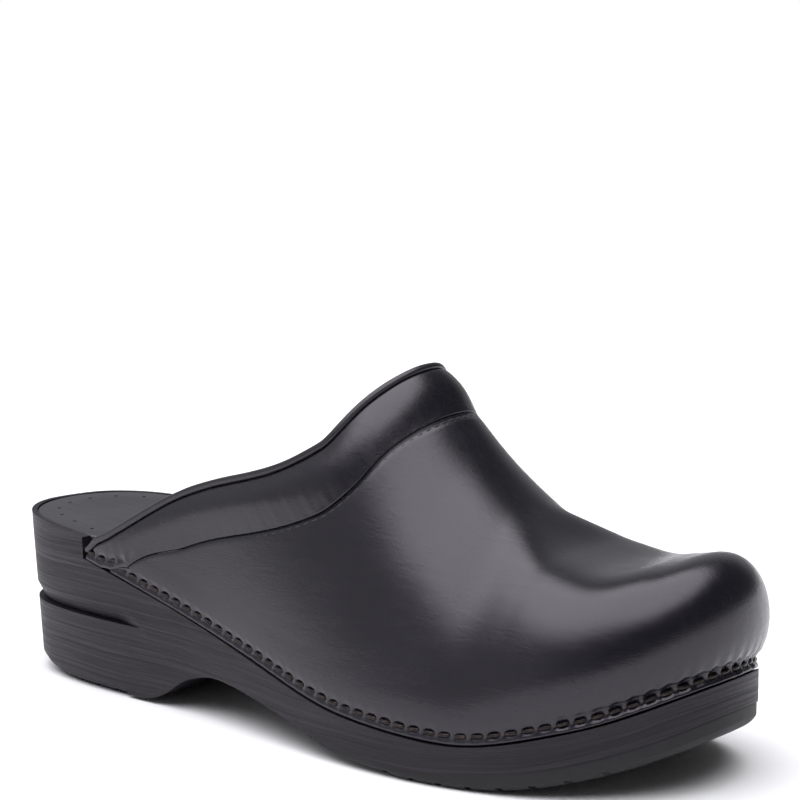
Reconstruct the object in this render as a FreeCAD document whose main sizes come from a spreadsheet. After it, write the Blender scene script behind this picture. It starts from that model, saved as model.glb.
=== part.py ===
import FreeCAD, Part
import math
import os
from bisect import bisect_right
from FreeCAD import Vector

# Open-backed clog for a right foot, in millimetres. Stations run from the back of the heel (0)
# to the toe, +Y is the inner side of the foot and +Z is up from the ground. Every sub-part is
# built in that heel frame and its Placement moves it to the part's own origin.

doc = FreeCAD.newDocument("clog")
sheet = doc.addObject("Spreadsheet::Sheet", "Sizes")

SIZES = [
    ("sole_length", 265.0), ("ball_width", 95.0), ("heel_radius", 32.5), ("toe_radius", 40.0),
    ("waist_outer", 37.0), ("waist_inner", 30.0), ("origin_station", 133.8), ("origin_side", -1.0),
    ("heel_height", 54.0), ("heel_back_draft", 4.7), ("heel_side_draft", 2.8),
    ("groove_floor", 24.0), ("groove_top", 30.0), ("groove_depth", 2.2), ("groove_end", 72.0),
    ("groove_fade", 14.0), ("upper_start", 45.0), ("rim_inset", 4.3),
    ("sock_inset", 2.0), ("sock_inset_front", 6.0),
    ("sock_thickness", 1.6), ("cushion_thickness", 3.0), ("perforation_diameter", 1.3),
    ("perforation_floor", 49.5), ("perforation_inset", 9.0), ("perforation_pitch", 9.5),
    ("tread_edge_radius", 3.6), ("tread_back_radius", 0.8), ("tread_groove_width", 1.8),
    ("tread_start", 152.0), ("tread_groove_depth", 1.3), ("centre_groove_width", 2.2),
    ("tread_pitch", 9.0), ("heel_tread_thickness", 4.2),
    ("heel_tread_drop", 1.2), ("heel_tread_inset", 3.0), ("heel_edge_radius", 2.2),
    ("spring_start", 200.0), ("toe_spring", 17.2), ("upper_inset", 0.6),
    ("margin_height", 5.0), ("margin_gap", 0.3),
    ("vamp_thickness", 1.8), ("collar_thickness", 1.4), ("lining_thickness", 1.0),
    ("puff_thickness", 0.8), ("foam_edge", 0.5), ("foam_bulge", 3.5), ("collar_bulge", 2.2),
    ("layer_gap", 0.1), ("joint_gap", 0.3), ("binding_height", 2.6), ("binding_width", 3.8),
    ("staple_pitch", 5.0), ("staple_length", 3.4), ("staple_wire", 0.9), ("staple_height", 3.0),
    ("stitch_pitch", 3.2), ("stitch_length", 2.2), ("stitch_wire", 0.5), ("stitch_inset", 1.3),
]
for row, (alias, value) in enumerate(SIZES, start=1):
    sheet.set("A%d" % row, alias)
    sheet.set("B%d" % row, str(value))
    sheet.setAlias("B%d" % row, alias)
doc.recompute()
size = {alias: float(sheet.get(alias)) for alias, value in SIZES}

LENGTH = size["sole_length"]
WIDTH = size["ball_width"]


# ---------------------------------------------------------------- curves that give the shape

class Curve:
    """A smooth curve through a few points that never overshoots them (monotone cubic)."""

    def __init__(self, *points):
        self.x = [p[0] for p in points]
        self.y = [p[1] for p in points]
        steps = list(zip(self.x, self.x[1:], self.y, self.y[1:]))
        slopes = [(y1 - y0) / (x1 - x0) for x0, x1, y0, y1 in steps]
        self.slope = [slopes[0]]
        for before, after in zip(slopes, slopes[1:]):
            mean = 2 * before * after / (before + after) if before * after > 0 else 0.0
            self.slope.append(mean)
        self.slope.append(slopes[-1])

    def __call__(self, x):
        x = min(max(x, self.x[0]), self.x[-1])
        i = min(bisect_right(self.x, x) - 1, len(self.x) - 2)
        width = self.x[i + 1] - self.x[i]
        f = (x - self.x[i]) / width
        return (self.y[i] * (1 + 2 * f) * (1 - f) ** 2 + self.y[i + 1] * f * f * (3 - 2 * f)
                + width * (self.slope[i] * f * (1 - f) ** 2 - self.slope[i + 1] * f * f * (1 - f)))


def smooth(x, start, end):
    """0 before start, 1 after end, with a soft change between them."""
    f = min(max((x - start) / (end - start), 0.0), 1.0)
    return f * f * (3 - 2 * f)


def arc(centre, radius, degrees):
    """Points of a circle in plan at the given angles."""
    turns = [math.radians(d) for d in degrees]
    return [(centre[0] + radius * math.cos(t), centre[1] + radius * math.sin(t)) for t in turns]


# The widest outline of the sole: a round heel, the waist, the ball and a round toe.
heel_centre = size["heel_radius"], 1.0
toe_centre = LENGTH - size["toe_radius"], 5.0
OUTLINE = arc(heel_centre, size["heel_radius"], (180, 225, 270))
OUTLINE += [(100, -size["waist_outer"]), (176, -0.51 * WIDTH)]
OUTLINE += arc(toe_centre, size["toe_radius"], (-60, -30, 0, 30, 60))
OUTLINE += [(198, 0.49 * WIDTH), (105, size["waist_inner"])]
OUTLINE += arc(heel_centre, size["heel_radius"], (90, 135))
outline = Part.BSplineCurve()
outline.interpolate(Points=[Vector(station, side, 0) for station, side in OUTLINE], PeriodicFlag=True)
FIRST, LAST = outline.FirstParameter, outline.LastParameter


def rim_point(parameter, inset):
    """A point of the outline moved inwards by an inset that may depend on the station."""
    point = outline.value(parameter)
    along = outline.tangent(parameter)[0]
    distance = inset(point.x) if callable(inset) else inset
    return point + Vector(-along.y, along.x, 0) * distance


# Heights over the ground, by station: the ledge that the upper stands on, the rim of the footbed
# above it and the arch of the underside between the heel and the forefoot.
ledge = Curve((0, 52), (45, 43), (120, 24), (165, 14.5), (200, 12.5), (235, 19.5), (265, 32), (280, 38.5))
footbed = Curve((-10, 53.5), (25, 52), (80, 44), (135, 29), (165, 22), (200, 19.5), (240, 27),
                (265, 36.5), (280, 41.5))
arch = Curve((66, 0), (78, 3), (92, 11), (105, 14), (135, 10), (165, 2.5), (186, 0))


def toe_lift(station):
    """Height of the tread's underside over the ground in front of the flat part of the forefoot."""
    reach = LENGTH - size["spring_start"]
    return size["toe_spring"] * (max(station - size["spring_start"], 0.0) / reach) ** 2


def heel_lift(station):
    """Height of the rounded back edge of the heel over the ground."""
    return 5.4 * (max(40.0 - station, 0.0) / 40.0) ** 2


def underside(station):
    """Height of the sole's underside over the ground, from the waist forwards."""
    return toe_lift(station) + arch(station)


def tread_top(station):
    """Top of the forefoot tread, which thins to a feather edge towards the waist."""
    thickness = 0.3 + 2.9 * smooth(station, 150, 176) + 2.3 * smooth(station, 184, 215)
    return underside(station) + thickness


# ---------------------------------------------------------------- the dome of the upper

# Height of the upper's ridge, real in front of the instep and only a guide for the sides behind it.
ridge = Curve((45, 128), (100, 150), (157, 112), (167, 100), (182, 84), (200, 70), (215, 62), (228, 60),
              (245, 64), (265, 78))
ridge_side = Curve((45, 0), (100, 0), (157, 4), (200, 4), (235, 6), (265, 7.5))
roundness = Curve((45, 2.1), (157, 2.1), (195, 2.3))
steepness = Curve((45, 1.3), (100, 1.25), (157, 1.25), (195, 1.5))
TOE_CENTRE = 195.0
SAMPLES = 720

edge = [rim_point(FIRST + (LAST - FIRST) * k / SAMPLES, size["upper_inset"]) for k in range(SAMPLES)]


def table(pairs):
    """A function that reads linearly between the sorted pairs of a list."""
    pairs = sorted(pairs)
    keys = [p[0] for p in pairs]

    def read(x):
        i = min(max(bisect_right(keys, x), 1), len(keys) - 1)
        (x0, y0), (x1, y1) = pairs[i - 1], pairs[i]
        return y0 + (y1 - y0) * (x - x0) / (x1 - x0)
    return read


toe_index = max(range(SAMPLES), key=lambda k: edge[k].x)
outer_side = table([(p.x, p.y) for p in edge[1:toe_index + 1]])
inner_side = table([(p.x, p.y) for p in edge[toe_index:]])
toe_middle = Vector(TOE_CENTRE, ridge_side(TOE_CENTRE), 0)
toe_reach = table([(math.atan2(p.y - toe_middle.y, p.x - toe_middle.x), (p - toe_middle).Length)
                   for p in edge])


def dome_height(base, top, off_ridge, power, lean):
    """Height and rise of a superellipse arch; off_ridge is 0 on the ridge and 1 at the edge."""
    rise = max(1 - min(off_ridge, 1.0) ** power, 0.0) ** (1 / lean)
    return base + (top - base) * rise, rise


def swell(rise, front):
    """How far the upper bulges outwards over its own edge."""
    return (1.0 + 3.3 * front) * math.sin(math.pi * rise ** 0.8)


def across(station, side):
    """Dome point for a place in plan, from the arch square to the length of the shoe."""
    middle = ridge_side(station)
    limit = outer_side(station) if side < middle else inner_side(station)
    off_ridge = (side - middle) / (limit - middle)
    height, rise = dome_height(ledge(station) + size["margin_height"], ridge(station), off_ridge,
                               roundness(station), steepness(station))
    push = math.copysign(swell(rise, 0) * min(off_ridge, 1.0), limit - middle)
    return Vector(station, side + push, height)


def around(station, side):
    """Dome point for a place in plan, from spokes that fan out round the toe."""
    spoke = Vector(station, side, 0) - toe_middle
    angle = math.atan2(spoke.y, spoke.x)
    reach = toe_reach(angle)
    off_ridge = spoke.Length / reach
    front = max(math.cos(angle), 0.0) ** 2
    base = ledge(toe_middle.x + reach * math.cos(angle)) + size["margin_height"]
    height, rise = dome_height(base, ridge(station), off_ridge, 2.3 + 6.7 * front, 1.5 + 0.85 * front)
    push = swell(rise, front) * min(off_ridge, 1.0)
    return Vector(station + push * math.cos(angle), side + push * math.sin(angle), height)


def dome(station, side):
    """Outer face of the upper over a place in plan."""
    blend = smooth(station, 178, 212)
    if blend == 0:
        return across(station, side)
    if blend == 1:
        return around(station, side)
    return across(station, side) * (1 - blend) + around(station, side) * blend


def place_on_arch(station, rise, inner):
    """Plan place where the arch at a station has the given rise, on the inner or outer side."""
    middle = ridge_side(station)
    limit = inner_side(station) if inner else outer_side(station)
    off_ridge = (1 - min(max(rise, 0.0), 1.0) ** steepness(station)) ** (1 / roundness(station))
    return Vector(station, middle + (limit - middle) * off_ridge, min(rise, 0.0))


# Rise of the collar seam and of the topline over the edge of the arch, by station: 1 is the ridge,
# and below 0 the curve runs down the upright margin that the staples hold.
seam_rise = Curve((58, -0.75), (66, 0), (92, 0.15), (125, 0.31), (145, 0.47), (155, 0.62), (163, 0.83),
                  (169, 1))
topline_rise = Curve((46, -0.15), (47, 0), (56, 0.09), (80, 0.26), (120, 0.45), (140, 0.64),
                     (150, 0.85), (157, 1))
COLLAR_START = topline_rise.x[0]
VAMP_START = seam_rise.x[0]
MARGIN_FOOT = size["margin_gap"] / size["margin_height"] - 1
COLUMNS = 84
ROWS = 16


def on_upper(place):
    """Outer face of the upper at a plan place; a negative z is a share of the margin's height."""
    return dome(place.x, place.y) + Vector(0, 0, min(place.z, 0.0) * size["margin_height"])


def lengths(points):
    total = [0.0]
    for a, b in zip(points, points[1:]):
        total.append(total[-1] + (b - a).Length)
    return total


def at_length(points, total, distance):
    """Point at a distance along a polyline."""
    i = min(max(bisect_right(total, distance), 1), len(points) - 1)
    span = total[i] - total[i - 1]
    return points[i - 1] + (points[i] - points[i - 1]) * ((distance - total[i - 1]) / (span or 1.0))


def spread(places, count):
    """Places at even distances along the upper."""
    total = lengths([on_upper(p) for p in places])
    return [at_length(places, total, total[-1] * k / (count - 1)) for k in range(count)]


def over_the_foot(rise):
    """Plan places along a curve of given rise, from the outer side over the ridge to the inner."""
    start, end = rise.x[0], rise.x[-1]
    stations = [end - (end - start) * (1 - k / 60) ** 2 for k in range(61)]
    outer = [place_on_arch(s, rise(s), False) for s in stations]
    inner = [place_on_arch(s, rise(s), True) for s in reversed(stations[:-1])]
    return outer + inner


def margin_foot(start):
    """Plan places along the foot of the margin, from the outer side round the toe to the inner."""
    run = [p for p in edge if p.x >= start]
    first = next(k for k, p in enumerate(edge) if p.x >= start)
    return [Vector(p.x, p.y, MARGIN_FOOT) for p in edge[first:first + len(run)]]


def climb(low, high):
    """Places from one curve up to another: up the margin first, then straight in plan."""
    foot = Vector(low.x, low.y, min(high.z, 0.0)) if low.z < 0 else low
    places = [low + (foot - low) * (k / 6) for k in range(6)] if low.z < 0 else []
    return places + [foot + (high - foot) * (k / 48) ** 2 for k in range(49)]


def panel(low_curve, high_curve, trim_low=0.0, trim_high=0.0):
    """Grid of points over the upper between two curves, as columns from low to high."""
    grid = []
    for low, high in zip(spread(low_curve, COLUMNS), spread(high_curve, COLUMNS)):
        points = [on_upper(p) for p in climb(low, high)]
        total = lengths(points)
        trims = trim_low * (low.z >= 0), trim_high
        if sum(trims) > 0.7 * total[-1]:
            trims = [t * 0.7 * total[-1] / sum(trims) for t in trims]
        run = total[-1] - sum(trims)
        grid.append([at_length(points, total, trims[0] + run * k / (ROWS - 1)) for k in range(ROWS)])
    return grid


def outward(grid, i, j):
    """Unit normal of a grid that faces out of the shoe."""
    last = len(grid) - 1, len(grid[0]) - 1
    along = grid[min(i + 1, last[0])][j] - grid[max(i - 1, 0)][j]
    up = grid[i][min(j + 1, last[1])] - grid[i][max(j - 1, 0)]
    normal = along.cross(up)
    return normal.normalize()


def sunk(grid, depth):
    """The grid moved into the shoe by a depth that may depend on the place in the grid."""
    def moved(i, j):
        share = i / (len(grid) - 1), j / (len(grid[0]) - 1)
        return grid[i][j] - outward(grid, i, j) * (depth(*share) if callable(depth) else depth)
    return [[moved(i, j) for j in range(len(grid[0]))] for i in range(len(grid))]


# ---------------------------------------------------------------- solids from surfaces

def add_solid(label, shape):
    node = doc.addObject("Part::Feature", label)
    node.Label = label
    node.Shape = shape
    return node


def shell_between(outer, inner):
    """Closed solid between two grids of the same size."""
    faces = []
    surfaces = []
    for grid in (outer, inner):
        surface = Part.BSplineSurface()
        surface.interpolate(grid)
        surfaces.append(surface)
        faces.append(surface.toShape())
    u0, u1, v0, v1 = surfaces[0].bounds()
    borders = [[s.uIso(u0), s.uIso(u1), s.vIso(v0), s.vIso(v1)] for s in surfaces]
    for border in zip(*borders):
        side = Part.makeLoft([Part.Wire([curve.toShape()]) for curve in border], False, True)
        faces.append(side.Faces[0])
    skin = Part.makeCompound(faces)
    skin.sewShape(0.01)
    solid = Part.makeSolid(skin.Shells[0])
    if solid.Volume < 0:
        solid.reverse()
    return solid


def rounded_bar(length, diameter):
    """A short bar along Z with bevelled ends, turned from its half profile."""
    radius, bevel, end = diameter / 2, 0.2 * diameter, length / 2
    profile = [(0, -end), (radius - bevel, -end), (radius, bevel - end), (radius, end - bevel),
               (radius - bevel, end), (0, end), (0, -end)]
    face = Part.Face(Part.makePolygon([Vector(across_bar, 0, z) for across_bar, z in profile]))
    return face.revolve(Vector(0, 0, 0), Vector(0, 0, 1), 360)


def row_of_bars(points, normals, pitch, length, diameter):
    """Bars laid on the upper at an even pitch along a line of points."""
    bar = rounded_bar(length, diameter)
    total = lengths(points)
    count = int(total[-1] // pitch)
    bars = []
    for k in range(count):
        distance = (k + 0.5) * total[-1] / count
        middle = at_length(points, total, distance)
        ahead = at_length(points, total, distance + 0.5) - at_length(points, total, distance - 0.5)
        normal = at_length(normals, total, distance).normalize()
        turn = FreeCAD.Rotation(Vector(0, 0, 1), ahead)
        seat = FreeCAD.Placement(middle + normal * (diameter / 2 + 0.03), turn)
        bars.append(bar.transformed(seat.toMatrix(), True))
    return Part.makeCompound(bars)


# ---------------------------------------------------------------- slabs cut to the outline

def plane_of(body, role):
    return next(o for o in body.Origin.OriginFeatures if o.Role == role)


def sketch_on(body, name, role):
    sketch = body.newObject("Sketcher::SketchObject", name)
    sketch.AttachmentSupport = [(plane_of(body, role), "")]
    sketch.MapMode = "FlatFace"
    return sketch


def closed_spline(sketch, points):
    curve = Part.BSplineCurve()
    curve.interpolate(Points=points, PeriodicFlag=True)
    sketch.addGeometry(curve, False)


def open_spline(points):
    curve = Part.BSplineCurve()
    curve.interpolate(points)
    return curve


def outline_points(inset, count=40):
    return [rim_point(FIRST + (LAST - FIRST) * k / count, inset) for k in range(count)]


def add_run(sketch, points):
    """A line between two points, or a smooth curve through more."""
    sketch.addGeometry(Part.LineSegment(*points) if len(points) == 2 else open_spline(points), False)


def add_polygon(sketch, corners):
    for a, b in zip(corners, corners[1:] + corners[:1]):
        add_run(sketch, [a, b])


def stations(start, end, count):
    return [start + (end - start) * k / count for k in range(count + 1)]


def run_of(height, start, end, count=1):
    """Part of a height profile, as sketch points on the plane through the length of the shoe."""
    return [Vector(s, height(s), 0) for s in stations(start, end, count)]


def band_pad(body, name, low, high):
    """Pad across the whole width whose side view lies between a lower and an upper profile."""
    sketch = sketch_on(body, name + "_profile", "XZ_Plane")
    for points in low + high:
        add_run(sketch, points)
    add_run(sketch, [low[-1][-1], high[-1][-1]])
    add_run(sketch, [low[0][0], high[0][0]])
    pad = body.newObject("PartDesign::Pad", name)
    pad.Profile = sketch
    pad.Midplane = True
    pad.setExpression("Length", "1.5 * Sizes.ball_width")


def trim_to_outline(body, name, inset, count=40):
    """Cut away everything outside an outline in plan."""
    sketch = sketch_on(body, name + "_outline", "XY_Plane")
    corners = [Vector(-40, -90, 0), Vector(LENGTH + 40, -90, 0), Vector(LENGTH + 40, 90, 0),
               Vector(-40, 90, 0)]
    add_polygon(sketch, corners)
    closed_spline(sketch, outline_points(inset, count))
    pocket = body.newObject("PartDesign::Pocket", name)
    pocket.Profile = sketch
    pocket.Type = "ThroughAll"
    pocket.Midplane = True


def new_body(label):
    body = doc.addObject("PartDesign::Body", label)
    body.Label = label
    return body


def make_slab(label, inset, low, high, count=40):
    """Body bounded by an outline in plan and by a lower and an upper profile in side view."""
    body = new_body(label)
    band_pad(body, label + "_band", low, high)
    trim_to_outline(body, label + "_trim", inset, count)
    return body


def combine(kind, label, base, tool):
    """Boolean of two objects: kind is Cut, Fuse or Common."""
    result = doc.addObject("Part::" + kind, label)
    result.Label = label
    result.Base = base
    result.Tool = tool
    return result


# ---------------------------------------------------------------- sole

def draft(station, height):
    """Inward lean of the heel wall below the footbed; the forefoot wall is upright."""
    back = size["heel_side_draft"] + (size["heel_back_draft"] - size["heel_side_draft"]) * (
        1 - smooth(station, 0, 22))
    return back * (1 - smooth(station, 70, 130)) * (1 - height / size["heel_height"])


def wall_inset(height):
    return lambda station: draft(station, height)


def make_wall():
    """The whole sole as an upright block with the lean of the heel wall."""
    body = new_body("sole_wall")
    wall = body.newObject("PartDesign::AdditiveLoft", "wall")
    sections = []
    for name, height, offset in (("low_outline", 0.0, "-6"), ("top_outline", size["heel_height"],
                                                               "Sizes.heel_height")):
        sketch = sketch_on(body, name, "XY_Plane")
        sketch.setExpression("AttachmentOffset.Base.z", offset)
        closed_spline(sketch, outline_points(wall_inset(height)))
        sections.append(sketch)
    wall.Profile = sections[0]
    wall.Sections = sections[1:]
    wall.Ruled = True
    return body


def outline_run(start, end, keep):
    """Parameters along the outline between two counts of 160 steps, where the station is kept."""
    steps = [FIRST + ((LAST - FIRST) * k / 160) % (LAST - FIRST) for k in range(start, end + 1)]
    return [p for p in steps if keep(outline.value(p).x)]


def ring_cutter(label, run, column, floor=lambda station: 0.0):
    """Ring outside the wall; column gives the inset and the height over a floor of its inner face."""
    inner, outer = [], []
    for parameter in run:
        near, far = [], []
        for inset, height in column(outline.value(parameter).x):
            point = rim_point(parameter, inset)
            level = Vector(0, 0, floor(point.x) + height)
            near.append(point + level)
            far.append(rim_point(parameter, -3.0) + level)
        inner.append(near)
        outer.append(far)
    return add_solid(label, shell_between(outer, inner))


def groove_column(station):
    """Hollow of the heel groove: deepest on its floor, running out into the wall at its top."""
    floor, top, depth = size["groove_floor"], size["groove_top"], size["groove_depth"]
    hollow = Curve((0, depth), (0.5, 0.4 * depth), (1, -0.4))
    share = 1 - smooth(station, size["groove_end"] - size["groove_fade"], size["groove_end"])
    spots = []
    for k in range(9):
        height = floor + (top - floor) * k / 8
        spots.append((draft(station, height) + (hollow(k / 8) + 0.4) * share - 0.4, height))
    return spots


def round_column(station, radius):
    """Rounding of a lower edge of the wall, run out a little past the floor and past the wall."""
    spots = []
    for k in range(9):
        turn = math.radians(-12 + 12 * k)
        rise = 1 - math.cos(turn) if turn > 0 else 0.3 * turn
        spots.append((radius * (1 - math.sin(turn)), radius * rise))
    spots.append((-0.12 * radius, 1.15 * radius))
    return [(draft(station, 0) + inset, height) for inset, height in spots]


def tread_edge_column(station):
    radius = size["tread_back_radius"]
    radius += (size["tread_edge_radius"] - radius) * smooth(station, 152, 186)
    return round_column(station, radius)


def heel_edge_column(station):
    return round_column(station, size["heel_edge_radius"])


def heel_floor(station):
    """Height of the heel's underside round its tread plate."""
    return heel_lift(station) + size["heel_tread_drop"]


def sole_underside():
    """Side view of the sole body's underside, from the heel's back edge to the toe."""
    heel = lambda s: heel_lift(s) + size["heel_tread_drop"] * (1 - smooth(s, 66, 92))
    rise = lambda s: max(arch(s), heel(s))
    seat = lambda s: tread_top(s) + size["layer_gap"]
    rebate = size["tread_start"] - 0.3
    step = [Vector(rebate, rise(rebate), 0), Vector(rebate, seat(rebate), 0)]
    return [run_of(heel, -8, 40, 6), run_of(heel, 40, 66), run_of(rise, 66, rebate, 14), step,
            run_of(seat, rebate, LENGTH + 8, 14)]


def make_rim():
    """Raised rim round the footbed inside the upper, cut straight where the upper starts."""
    start, end = size["upper_start"], LENGTH + 8
    return make_slab("footbed_rim", size["rim_inset"],
                     [run_of(lambda s: ledge(s) - 4, start, end, 14)], [run_of(footbed, start, end, 14)])


def sock_outline(station):
    """The sock lining runs to the heel's edge and inside the rim where the upper stands."""
    front = smooth(station, size["upper_start"] - 7, size["upper_start"] + 5)
    return size["sock_inset"] + (size["sock_inset_front"] - size["sock_inset"]) * front


def footbed_layer(label, inset, top_depth, bottom_depth):
    """A layer that follows the footbed between two depths under its surface."""
    return make_slab(label, lambda s: sock_outline(s) + inset,
                     [run_of(lambda s: footbed(s) - bottom_depth, -8, LENGTH + 8, 20)],
                     [run_of(lambda s: footbed(s) - top_depth, -8, LENGTH + 8, 20)])


def heel_tread_plate(label, grow):
    """The heel's tread plate, or the slightly larger seat that holds it."""
    low = heel_lift if grow == 0 else lambda s: heel_lift(s) - 2
    high = lambda s: heel_lift(s) + size["heel_tread_thickness"] + grow
    inset = lambda s: draft(s, 0) + size["heel_tread_inset"] - grow
    return make_slab(label, inset,
                     [run_of(low, -4, 40, 6), run_of(low, 40, 62 + grow)],
                     [run_of(high, -4, 40, 6), run_of(high, 40, 62 + grow)])


def make_sole_body(recess_depth):
    body = new_body("sole_side_view")
    start, end = size["upper_start"], LENGTH + 8
    step = [Vector(start, footbed(start), 0), Vector(start, ledge(start), 0)]
    band_pad(body, "side_view", sole_underside(),
             [run_of(footbed, -8, start, 4), step, run_of(ledge, start, end, 16)])
    block = combine("Common", "sole_block", make_wall(), body)
    groove = ring_cutter("heel_groove", outline_run(-60, 60, lambda s: s < size["groove_end"] + 1),
                         groove_column)
    grooved = combine("Cut", "grooved_block", block, groove)
    rimmed = combine("Fuse", "rimmed_block", grooved, make_rim())
    recess = footbed_layer("footbed_recess", -0.15, -4.0, recess_depth)
    hollowed = combine("Cut", "hollowed_block", rimmed, recess)
    seated = combine("Cut", "seated_block", hollowed, heel_tread_plate("heel_tread_seat", 0.1))
    edge_ring = ring_cutter("heel_edge", outline_run(-60, 60, lambda s: s < 66), heel_edge_column,
                            heel_floor)
    return combine("Cut", "sole_body", seated, edge_ring)


def groove_pockets(body, name, centres, lift):
    """Grooves across a tread."""
    sketch = sketch_on(body, name + "_profile", "XZ_Plane")
    half = size["tread_groove_width"] / 2
    for s in centres:
        low, top = lift(s) - 2, lift(s) + size["tread_groove_depth"]
        add_polygon(sketch, [Vector(s - half, low, 0), Vector(s + half, low, 0),
                             Vector(s + half, top, 0), Vector(s - half, top, 0)])
    pocket = body.newObject("PartDesign::Pocket", name)
    pocket.Profile = sketch
    pocket.Type = "ThroughAll"
    pocket.Midplane = True


def centre_groove(body, name, start, end, lift):
    """One groove along the middle of a tread, between two stations."""
    sketch = sketch_on(body, name + "_profile", "XZ_Plane")
    low = run_of(lambda s: lift(s) - 2, start, end, 8)
    high = run_of(lambda s: lift(s) + size["tread_groove_depth"], start, end, 8)
    for points in (low, high, [low[0], high[0]], [low[-1], high[-1]]):
        add_run(sketch, points)
    pocket = body.newObject("PartDesign::Pocket", name)
    pocket.Profile = sketch
    pocket.Midplane = True
    pocket.setExpression("Length", "Sizes.centre_groove_width")


def tread_centres(start, end):
    count = int((end - start) // size["tread_pitch"])
    return [start + size["tread_pitch"] * (k + 0.5) for k in range(count)]


def make_forefoot_tread():
    start = size["tread_start"]
    low = [run_of(arch, start, 186, 6), run_of(toe_lift, 186, 200), run_of(toe_lift, 200, LENGTH + 8, 8)]
    body = make_slab("tread_slab", 0.4, low, [run_of(tread_top, start, LENGTH + 8, 14)])
    groove_pockets(body, "forefoot_grooves", tread_centres(176, 256), underside)
    centre_groove(body, "forefoot_centre_groove", 172, 256, underside)
    rounded = outline_run(0, 160, lambda s: s > start + 4)
    edge_ring = ring_cutter("tread_edge", rounded, tread_edge_column, underside)
    return combine("Cut", "forefoot_tread", body, edge_ring)


def make_heel_tread():
    body = heel_tread_plate("heel_tread", 0)
    groove_pockets(body, "heel_grooves", tread_centres(6, 62), heel_lift)
    centre_groove(body, "heel_centre_groove", 8, 59, heel_lift)
    return body


def make_sock_lining():
    """Top cover of the footbed, with a line of small perforations round the heel seat."""
    body = footbed_layer("sock_lining", 0, 0, size["sock_thickness"])
    ring = [rim_point(FIRST + (LAST - FIRST) * (k % 240) / 240, size["perforation_inset"])
            for k in range(-52, 53)]
    total = lengths(ring)
    sketch = sketch_on(body, "perforation_places", "XY_Plane")
    sketch.setExpression("AttachmentOffset.Base.z", "Sizes.heel_height")
    count = int(total[-1] // size["perforation_pitch"])
    for k in range(count + 1):
        centre = at_length(ring, total, total[-1] * k / count)
        hole = Part.Circle(centre, Vector(0, 0, 1), size["perforation_diameter"] / 2)
        sketch.addGeometry(hole, False)
    pocket = body.newObject("PartDesign::Pocket", "perforations")
    pocket.Profile = sketch
    pocket.setExpression("Length", "Sizes.heel_height - Sizes.perforation_floor")
    return body


sock_floor = size["sock_thickness"] + size["layer_gap"]
cushion_floor = sock_floor + size["cushion_thickness"]
sole_body = make_sole_body(cushion_floor + size["layer_gap"])
forefoot_tread = make_forefoot_tread()
footbed_cushion = footbed_layer("footbed_cushion", 0.3, sock_floor, cushion_floor)
heel_tread = make_heel_tread()
sock_lining = make_sock_lining()


# ---------------------------------------------------------------- upper

def collar_low_edge():
    """The collar's lower edge: the margin's foot at the back ends and the seam between them."""
    back = [p for p in margin_foot(COLLAR_START) if p.x < VAMP_START - 4]
    outer = [p for p in back if p.y < 0]
    inner = [p for p in back if p.y > 0]
    return outer + over_the_foot(seam_rise) + inner


def toe_share(along, up):
    """1 where the stiffener lies behind the toe, fading to 0 round it."""
    sideways = smooth(along, 0.33, 0.39) * (1 - smooth(along, 0.61, 0.67))
    return sideways * smooth(up, 0.05, 0.14) * (1 - smooth(up, 0.60, 0.70))


def foam_depth(along, up):
    """Thickness of the collar's padding, thickest over the instep."""
    return size["foam_edge"] + size["foam_bulge"] * math.sin(math.pi * up) * math.sin(math.pi * along)


def part_of(grid, along, up):
    """The part of a grid between two shares of its length and of its height."""
    columns, rows = len(grid) - 1, len(grid[0]) - 1
    return [column[round(up[0] * rows):round(up[1] * rows) + 1]
            for column in grid[round(along[0] * columns):round(along[1] * columns) + 1]]


def layer(label, grid, near, far, along=(0, 1), up=(0, 1)):
    """One layer of the upper between two depths under its outer face."""
    return add_solid(label, shell_between(part_of(sunk(grid, near), along, up),
                                          part_of(sunk(grid, far), along, up)))


def vamp_layers():
    grid = panel(margin_foot(VAMP_START), over_the_foot(seam_rise), 0, size["joint_gap"] / 2)
    gap = size["layer_gap"]
    puff_near = size["vamp_thickness"] + gap
    puff_far = puff_near + size["puff_thickness"]
    lining_near = lambda a, b: puff_near + (size["puff_thickness"] + gap) * toe_share(a, b)
    lining_far = lambda a, b: lining_near(a, b) + size["lining_thickness"]
    return grid, [layer("vamp", grid, 0, size["vamp_thickness"]),
                  layer("toe_puff", grid, puff_near, puff_far, (0.40, 0.60), (0.15, 0.58)),
                  layer("vamp_lining", grid, lining_near, lining_far)]


def collar_layers():
    flat = panel(collar_low_edge(), over_the_foot(topline_rise), size["joint_gap"] / 2,
                 size["binding_height"])
    swollen = lambda a, b: -size["collar_bulge"] * math.sin(math.pi * b) * math.sin(2 * math.pi * a) ** 2
    grid = sunk(flat, swollen)
    gap = size["layer_gap"]
    foam_near = size["collar_thickness"] + gap
    foam_far = lambda a, b: foam_near + foam_depth(a, b)
    lining_near = lambda a, b: foam_far(a, b) + gap
    lining_far = lambda a, b: lining_near(a, b) + size["lining_thickness"]
    return [layer("instep_collar", grid, 0, size["collar_thickness"]),
            layer("collar_foam", grid, foam_near, foam_far, (0.05, 0.95)),
            layer("collar_lining", grid, lining_near, lining_far)]


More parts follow.
